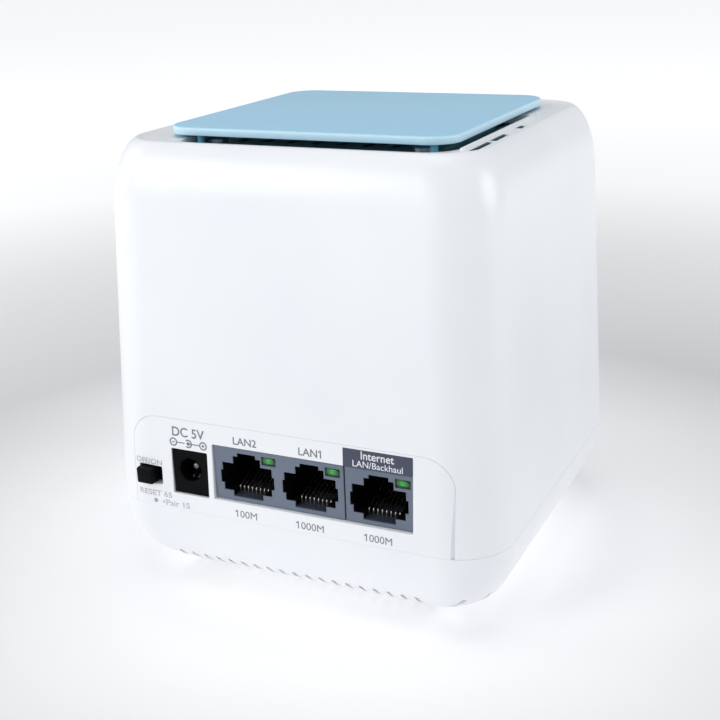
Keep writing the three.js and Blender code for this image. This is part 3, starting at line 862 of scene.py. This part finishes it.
def jack(name, x_range, ports, node):
    """A housing with a socket and an LED window at each port's centre line."""
    front = JACK_Y[1]
    step = front - LINER_SETBACK
    body = rounded_rect(x_range, JACK_Z, 0.15, 2)
    housing = new_object(name, flat_prism(body, [(0, JACK_Y[0]), (0, front - 0.1), (-0.1, front)]))
    cavity = [(LINER, front - CAVITY_DEPTH), (LINER, step), (0, step + 0.01)]
    for x in ports:
        boolean(housing, flat_prism(socket_outline(x), cavity + chamfered_mouth(front, 0.06)))
        boolean(housing, flat_prism(led_outline(x), [(0, front - 5)] + chamfered_mouth(front, 0.05)))
    smooth(housing)
    piece(housing, SLATE, "casing", "slate_plastic", node)


def socket_shade_liner(name, x):
    """Painted shade inside a socket: a black sheet over its walls, and a ledge, darker than the housing,
    that its wires rise from.
    """
    back = JACK_Y[1] - CAVITY_DEPTH
    front = JACK_Y[1] - LINER_SETBACK
    outline = socket_outline(x)
    wall = LINER - 0.02
    liner = new_object(name, flat_prism(outline, [(wall, back + 0.02), (wall, front - 0.02)]))
    boolean(liner, flat_prism(outline, [(0, back + 0.4), (0, front + 2)]))
    smooth(liner)
    piece(liner, SOCKET_SHADE, "casing", "black_plastic")
    # painted shade: the ledge is darker than the slate housing
    shelf = rounded_rect((x - 3.65, x + 3.65), (SOCKET_FLOOR_Z + 0.02, SOCKET_FLOOR_Z + 0.2), 0.08, 2)
    ledge = new_object(f"{name}_ledge", flat_prism(shelf, [(0, back + 4), (0, front + 0.1)]))
    smooth(ledge)
    piece(ledge, SHADED_LEDGE, "casing", "slate_plastic")


def wire(points, r):
    """A round wire along Y-Z points at x = 0."""
    rings = []
    for i, (y, z) in enumerate(points):
        before = points[max(i - 1, 0)]
        after = points[min(i + 1, len(points) - 1)]
        along = Vector((0, after[0] - before[0], after[1] - before[1])).normalized()
        across = along.cross(Vector((1, 0, 0)))
        rings.append([(u, y + v * across.y, z + v * across.z) for u, v in disc(0, 0, r, 8)])
    return loft(rings)


def contact_path():
    """Up from the socket's floor, round a knee, and back to the rear wall."""
    knee_r = 0.45
    knee_y, knee_z = 43.1, 25.9
    rise = math.radians(17)
    path = [(knee_y + knee_r, SOCKET_FLOOR_Z + 0.2), (knee_y + knee_r, knee_z - 0.2)]
    for i in range(8):
        turn = (math.pi / 2 - rise) * i / 7
        path.append((knee_y + knee_r * math.cos(turn), knee_z + knee_r * math.sin(turn)))
    start_y, start_z = path[-1]
    end_y = JACK_Y[1] - CAVITY_DEPTH + 0.5
    path.append((end_y, start_z + (start_y - end_y) * math.tan(rise)))
    return path


def contacts(name, x, node):
    """Eight spring wires side by side."""
    wires = []
    for i in range(8):
        mesh = wire(contact_path(), CONTACT_R)
        bmesh.ops.translate(mesh, vec=(x + (i - 3.5) * CONTACT_PITCH, 0, 0), verts=mesh.verts)
        wires.append(mesh)
    comb = new_object(name, merge(*wires))
    smooth(comb, 60)
    piece(comb, GOLD, "casing", "gold_plate", node)


def led(name, x, node):
    """A tinted window with a rounded lens standing proud of its frame."""
    front = JACK_Y[1] - 0.4
    plate = flat_prism(led_outline(x, 0.03), [(0, front - 4.0), (0, front - 0.1), (-0.1, front)])
    lens = rounded_rect((x - 6.95, x - 4.75), (33.75, 35.05), 0.5)
    dome = [(0, front - 0.3), (0, front + 0.1), (-0.12, front + 0.22), (-0.35, front + 0.3)]
    pane = new_object(name, plate)
    boolean(pane, flat_prism(lens, dome), "UNION")
    smooth(pane)
    piece(pane, LED, "casing", "green_window", node)


def dc_housing():
    front = DC_Y[1]
    body = rounded_rect(DC_X, DC_Z, 0.2, 2)
    layers = [(0, DC_Y[0]), (0, front - 0.15), (-0.15, front)]
    housing = new_object("dc_inlet_housing", flat_prism(body, layers))
    bore = disc(*DC_HOLE, DC_HOLE_R, 48)
    boolean(housing, flat_prism(bore, [(0, front - 9)] + chamfered_mouth(front, 0.2)))
    smooth(housing)
    piece(housing, BLACK, "casing", "black_plastic", "dc_jack_housing")


def dc_pin():
    """The centre pin, with a domed tip."""
    angles = [math.pi / 2 * i / 6 for i in range(7)]
    tip = [(DC_PIN_R * math.sin(a), 0.7 * math.cos(a)) for a in reversed(angles)]
    profile = [(0, -6.5), (DC_PIN_R, -6.5)] + tip
    pin = new_object("dc_inlet_pin", lathe(profile, (DC_HOLE[0], 44.0, DC_HOLE[1]), "Y"))
    smooth(pin)
    piece(pin, BORE_SHADED_METAL, "casing", "bright_metal", "dc_jack_pin")


def dc_spring():
    """The side contact: two narrow leaves with a bent tip, low in the bore."""
    over = [(44.6, 26.95), (44.2, 27.4), (43.6, 27.6), (39.5, 27.2)]
    under = [(39.5, 26.95), (43.4, 27.3), (44.0, 27.05)]
    leaves = []
    for x in (DC_HOLE[0] - 0.7, DC_HOLE[0] + 0.7):
        leaves.append(loft([[(x + dx, y, z) for y, z in over + under] for dx in (-0.22, 0.22)]))
    spring = new_object("dc_inlet_spring", merge(*leaves))
    smooth(spring, 50)
    piece(spring, BORE_SHADED_METAL, "casing", "bright_metal", "dc_jack_spring")


def power_knob():
    """The slide switch's knob, with a rounded front."""
    outline = rounded_rect(KNOB_X, KNOB_Z, 0.35, 4)
    back, front = KNOB_Y
    layers = [(0, back), (0, front - 0.3), (-0.05, front - 0.12), (-0.28, front)]
    knob = new_object("power_slide_knob", flat_prism(outline, layers))
    smooth(knob)
    piece(knob, BLACK, "power_switch", "black_plastic", "power_switch_knob")


def feet():
    """Four round rubber pads, softened where they meet the ground."""
    sole = [(0, -LIFT), (FOOT_R - 0.5, -LIFT), (FOOT_R - 0.15, 0.12 - LIFT), (FOOT_R, 0.45 - LIFT)]
    profile = sole + [(FOOT_R, 0.5), (0, 0.5)]
    for i, (sx, sy) in enumerate(((-1, -1), (1, -1), (-1, 1), (1, 1)), 1):
        foot = new_object(f"rubber_pad_{i}", lathe(profile, (sx * FOOT_SPOT, sy * FOOT_SPOT, 0)))
        smooth(foot)
        piece(foot, RUBBER, "casing", "rubber", f"rubber_foot_{i}")


# ---- Print ---------------------------------------------------------------------------------------
INK_PROUD = 0.025
INK_SUNK = 0.01


def on_rear(obj, proud=INK_PROUD):
    """Lays a flat X-Z mesh, drawn at y = 0 to 1, on the rear skin: 0 is sunk, 1 is proud."""
    for vertex in obj.data.vertices:
        x, y, z = vertex.co
        vertex.co.y = rear_y(x, z) + (proud if y > 0.5 else -INK_SUNK)
    return obj


def words(name, text, left_x, right_x, base_z, height, material, proud=INK_PROUD, boldness=0.012):
    """Words printed on the rear, from left_x to right_x as seen from behind; height is a capital's."""
    curve = bpy.data.curves.new(name, "FONT")
    curve.body = text
    curve.size = 1.0
    curve.offset = boldness
    curve.resolution_u = 4
    source = bpy.data.objects.new("text_source", curve)
    bpy.context.scene.collection.objects.link(source)
    bpy.context.view_layer.update()
    data = bpy.data.meshes.new_from_object(source.evaluated_get(bpy.context.evaluated_depsgraph_get()))
    bpy.data.objects.remove(source)
    mesh = bmesh.new()
    mesh.from_mesh(data)
    bmesh.ops.remove_doubles(mesh, verts=mesh.verts, dist=1e-5)
    low_u = min(v.co.x for v in mesh.verts)
    high_u = max(v.co.x for v in mesh.verts)
    tall = max(v.co.y for v in mesh.verts)
    for vertex in mesh.verts:
        u = (vertex.co.x - low_u) / (high_u - low_u)
        vertex.co = Vector((left_x + (right_x - left_x) * u, 0, base_z + vertex.co.y / tall * height))
    thick = bmesh.ops.extrude_face_region(mesh, geom=mesh.faces)
    for element in thick["geom"]:
        if isinstance(element, bmesh.types.BMVert):
            element.co.y = 1.0
    bmesh.ops.recalc_face_normals(mesh, faces=mesh.faces)
    piece(on_rear(new_object(name, mesh), proud), material, "casing", "white_casing")


def ink_shape(outline, hole=None):
    """A printed shape on the rear, with an optional hole whose outline has as many points."""
    mesh = bmesh.new()
    if hole is None:
        low = [mesh.verts.new((x, 0, z)) for x, z in outline]
        high = [mesh.verts.new((x, 1, z)) for x, z in outline]
        mesh.faces.new(low)
        mesh.faces.new(list(reversed(high)))
        for i in range(len(outline)):
            j = (i + 1) % len(outline)
            mesh.faces.new((low[j], low[i], high[i], high[j]))
    else:
        sides = ((outline, 0), (outline, 1), (hole, 1), (hole, 0))
        loops = [[mesh.verts.new((x, y, z)) for x, z in points] for points, y in sides]
        for a, b in zip(loops, loops[1:] + loops[:1]):
            for i in range(len(a)):
                j = (i + 1) % len(a)
                mesh.faces.new((a[i], a[j], b[j], b[i]))
    bmesh.ops.recalc_face_normals(mesh, faces=mesh.faces)
    return mesh


def ink_bar(x0, x1, z0, z1):
    return ink_shape([(x0, z0), (x1, z0), (x1, z1), (x0, z1)])


def polarity_mark():
    """The usual centre-positive symbol: minus ring, half ring with a dot, plus ring."""
    z = 35.84
    left, middle, right = 27.7, 23.85, 20.0
    r, line, half_bar, half_sign = 1.0, 0.32, 0.12, 0.4
    parts = [ink_shape(disc(x, z, r), disc(x, z, r - line)) for x in (left, right)]
    parts.append(ink_shape(disc(middle, z, 0.42, 20)))
    arc = [math.radians(50 + 260 * i / 24) for i in range(25)]
    outer = [(middle + r * math.cos(a), z + r * math.sin(a)) for a in arc]
    inner = [(middle + (r - line) * math.cos(a), z + (r - line) * math.sin(a)) for a in reversed(arc)]
    parts.append(ink_shape(outer + inner))
    for x0, x1 in ((left - r, middle + 0.9), (middle, right + r), (left + half_sign, left - half_sign)):
        parts.append(ink_bar(x0, x1, z - half_bar, z + half_bar))
    for a, b in ((half_sign, half_bar), (half_bar, half_sign)):
        parts.append(ink_bar(right + a, right - a, z - b, z + b))
    obj = on_rear(new_object("print_polarity", merge(*parts)))
    piece(obj, INK, "casing", "white_casing")


def figure_flags():
    """The font draws the figure one as a bare upright, so each gets its flag."""
    parts = []
    for x, z in ((-8.85, 39.2), (12.05, 22.05), (-3.1, 22.05), (-19.25, 22.05)):
        parts.append(ink_shape([(x, z), (x, z - 0.32), (x + 0.45, z - 0.62), (x + 0.45, z - 0.34)]))
    obj = on_rear(new_object("print_figure_flags", merge(*parts)))
    piece(obj, INK, "casing", "white_casing")


def pair_pointer():
    """The small arrowhead from the words to the reset hole."""
    outline = [(31.75, 20.75), (31.1, 20.35), (31.1, 21.15)]
    obj = on_rear(new_object("print_pair_pointer", ink_shape(outline)))
    piece(obj, FAINT_INK, "casing", "white_casing")


def internet_label():
    """The dark field above the Internet socket that its two lines stand on."""
    outline = rounded_rect((-29.95, -14.15), (36.62, 40.75), 0.12, 2)
    obj = on_rear(new_object("print_internet_label", ink_shape(dense(outline, 2.0))))
    piece(obj, LABEL, "casing", "slate_plastic")


def print_on_rear():
    words("print_lan2", "LAN2", 12.3, 6.5, 37.5, 1.7, INK)
    words("print_lan1", "LAN1", -3.7, -9.1, 37.5, 1.7, INK)
    words("print_dc", "DC 5V", 27.9, 19.6, 37.35, 2.15, INK)
    words("print_100m", "100M", 12.1, 7.05, 20.4, 1.65, INK, boldness=0.0)
    words("print_1000m_a", "1000M", -3.05, -9.3, 20.4, 1.65, INK, boldness=0.0)
    words("print_1000m_b", "1000M", -19.2, -25.2, 20.4, 1.65, INK, boldness=0.0)
    words("print_off_on", "OFF/ON", 38.3, 31.15, 29.55, 1.3, FAINT_INK)
    words("print_reset", "RESET 6S", 37.8, 29.0, 22.0, 1.3, FAINT_INK)
    words("print_pair", "Pair 1S", 30.7, 24.4, 20.1, 1.35, FAINT_INK)
    words("print_internet", "Internet", -18.3, -25.8, 38.75, 1.75, WHITE_INK, 2 * INK_PROUD)
    words("print_lan", "LAN/Backhaul", -16.4, -27.7, 36.95, 1.4, WHITE_INK, 2 * INK_PROUD, 0.0)
    polarity_mark()
    figure_flags()
    pair_pointer()
    internet_label()


# ---- Carried-over nodes --------------------------------------------------------------------------
NODE_MATERIALS = {
    "inner_frame": GREY,
    "main_board": BOARD,
    "power_switch_case": BLACK,
    "reset_switch_case": BLACK,
    "reset_switch_plunger": GREY,
    "main_chip": CHIP,
    "thermal_pad": PAD,
    "heat_sink": ALUMINIUM,
    "radio_shield_can": SHIELD,
    "memory_chip": CHIP,
    "power_inductor": CHIP,
    "power_capacitor": ALUMINIUM,
    "status_light_pipe": LENS,
    "status_led": LED,
}
for i in range(1, 5):
    NODE_MATERIALS[f"antenna_{i}"] = BOARD
    NODE_MATERIALS[f"base_screw_{i}"] = STEEL
    NODE_MATERIALS[f"board_screw_{i}"] = STEEL
    NODE_MATERIALS[f"frame_screw_{i}"] = STEEL
for i in range(1, 4):
    NODE_MATERIALS[f"port_transformer_{i}"] = CHIP


def dress_nodes():
    """Gives each CAD node that stays as it is its material."""
    for name, material in NODE_MATERIALS.items():
        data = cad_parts[name].data
        data.materials.clear()
        data.materials.append(material)


# ---- Stage ---------------------------------------------------------------------------------------
AZIMUTH, ELEVATION, ROLL = math.radians(205.504), math.radians(19.394), math.radians(-1.997)
DISTANCE = 297.065
TARGET = (3.602, 0, 42.033)
FLOOR_HALF = 12.0  # metres


def camera():
    data = bpy.data.cameras.new("camera")
    data.lens = 60.46
    data.sensor_width = 36.0
    data.shift_x = 0.00174
    data.shift_y = 0.00196
    data.clip_start = 0.01
    obj = bpy.data.objects.new("camera", data)
    back = Vector((
        math.sin(AZIMUTH) * math.cos(ELEVATION),
        -math.cos(AZIMUTH) * math.cos(ELEVATION),
        math.sin(ELEVATION),
    ))
    spot = Vector(TARGET) + Vector((0, 0, LIFT)) + back * DISTANCE
    level = Vector((0, 0, 1)).cross(back).normalized()
    up = back.cross(level)
    right = level * math.cos(ROLL) + up * math.sin(ROLL)
    top = up * math.cos(ROLL) - level * math.sin(ROLL)
    rotation = Matrix((right, top, back)).transposed()
    obj.matrix_world = Matrix.Translation(spot * MM) @ rotation.to_4x4()
    bpy.context.scene.collection.objects.link(obj)
    bpy.context.scene.camera = obj


def grey(level):
    return (level, level, level, 1.0)


def floor_material():
    """White paper with a painted shadow in a wide ring round the object, and a painted glow under it and
    again far off.
    """
    material = make_material("pale_floor_painted_shade", "F7F7F8", 0.6, Emission_Color=grey(1.0))
    distance = add_node(material, "ShaderNodeVectorMath", operation="LENGTH")
    feed_coordinates(material, distance)
    # painted shadow: a grey ring round the object
    painted_shade_tones = [(0.07, srgb("F7F7F8")), (0.15, srgb("C4C4C6")), (0.45, srgb("FBFBFC"))]
    drive(material, colour_ramp(material, distance, "Value", painted_shade_tones), "Color", "Base Color")
    # painted glow: emission strongest under the object and far off
    painted_glow_strength = [(0.04, grey(0.3)), (0.06, grey(0.11)), (0.3, grey(0.15)), (0.8, grey(0.45))]
    drive(material, colour_ramp(material, distance, "Value", painted_glow_strength), "Color", "Emission Strength")
    return material


def floor():
    mesh = bmesh.new()
    for x, y in ((-1, -1), (1, -1), (1, 1), (-1, 1)):
        mesh.verts.new((x * FLOOR_HALF, y * FLOOR_HALF, 0))
    mesh.faces.new(mesh.verts)
    obj = new_object("floor", mesh)
    obj.data.materials.append(floor_material())


def area_light(name, spot, size, power):
    """A round softbox at the spot, aimed at the object's middle."""
    data = bpy.data.lights.new(name, "AREA")
    data.shape = "DISK"
    data.size = size
    data.energy = power
    obj = bpy.data.objects.new(name, data)
    obj.location = spot
    aim = Vector((0, 0, 0.05)) - Vector(spot)
    obj.rotation_euler = aim.to_track_quat("-Z", "Y").to_euler()
    bpy.context.scene.collection.objects.link(obj)


def lights():
    """A soft, slightly cool room with softboxes round the object and one overhead."""
    world = bpy.data.worlds.new("studio")
    world.use_nodes = True
    background = world.node_tree.nodes["Background"]
    background.inputs["Color"].default_value = (0.95, 0.975, 1.0, 1.0)
    background.inputs["Strength"].default_value = 0.51
    bpy.context.scene.world = world
    area_light("softbox_rear_left", (0.55, 0.75, 0.42), 0.5, 2.7)
    area_light("softbox_rear", (0.1, 1.0, 0.3), 0.5, 0.6)
    area_light("softbox_side", (-0.9, -0.2, 0.35), 0.5, 2.4)
    area_light("softbox_left", (0.95, 0.15, 0.4), 0.5, 1.6)
    area_light("softbox_top", (0.0, 0.1, 1.0), 0.6, 1.6)


camera()
floor()
lights()
upper_shell()
port_panel()
base_shell()
top_plate()
vent_frame()
slot_shade_strips()
jack("lan_jack", LAN_X, PORT_X[:2], "lan_jack_housing")
jack("internet_jack", INTERNET_X, PORT_X[2:], "internet_jack_housing")
for port, x in zip(("lan2", "lan1", "internet"), PORT_X):
    socket_shade_liner(f"{port}_socket_shade_liner", x)
    contacts(f"{port}_spring_wires", x, f"{port}_contacts")
    led(f"{port}_led_lens", x, f"{port}_led")
dc_housing()
dc_pin()
dc_spring()
power_knob()
feet()
print_on_rear()
dress_nodes()

bpy.context.scene.view_settings.view_transform = "Standard"
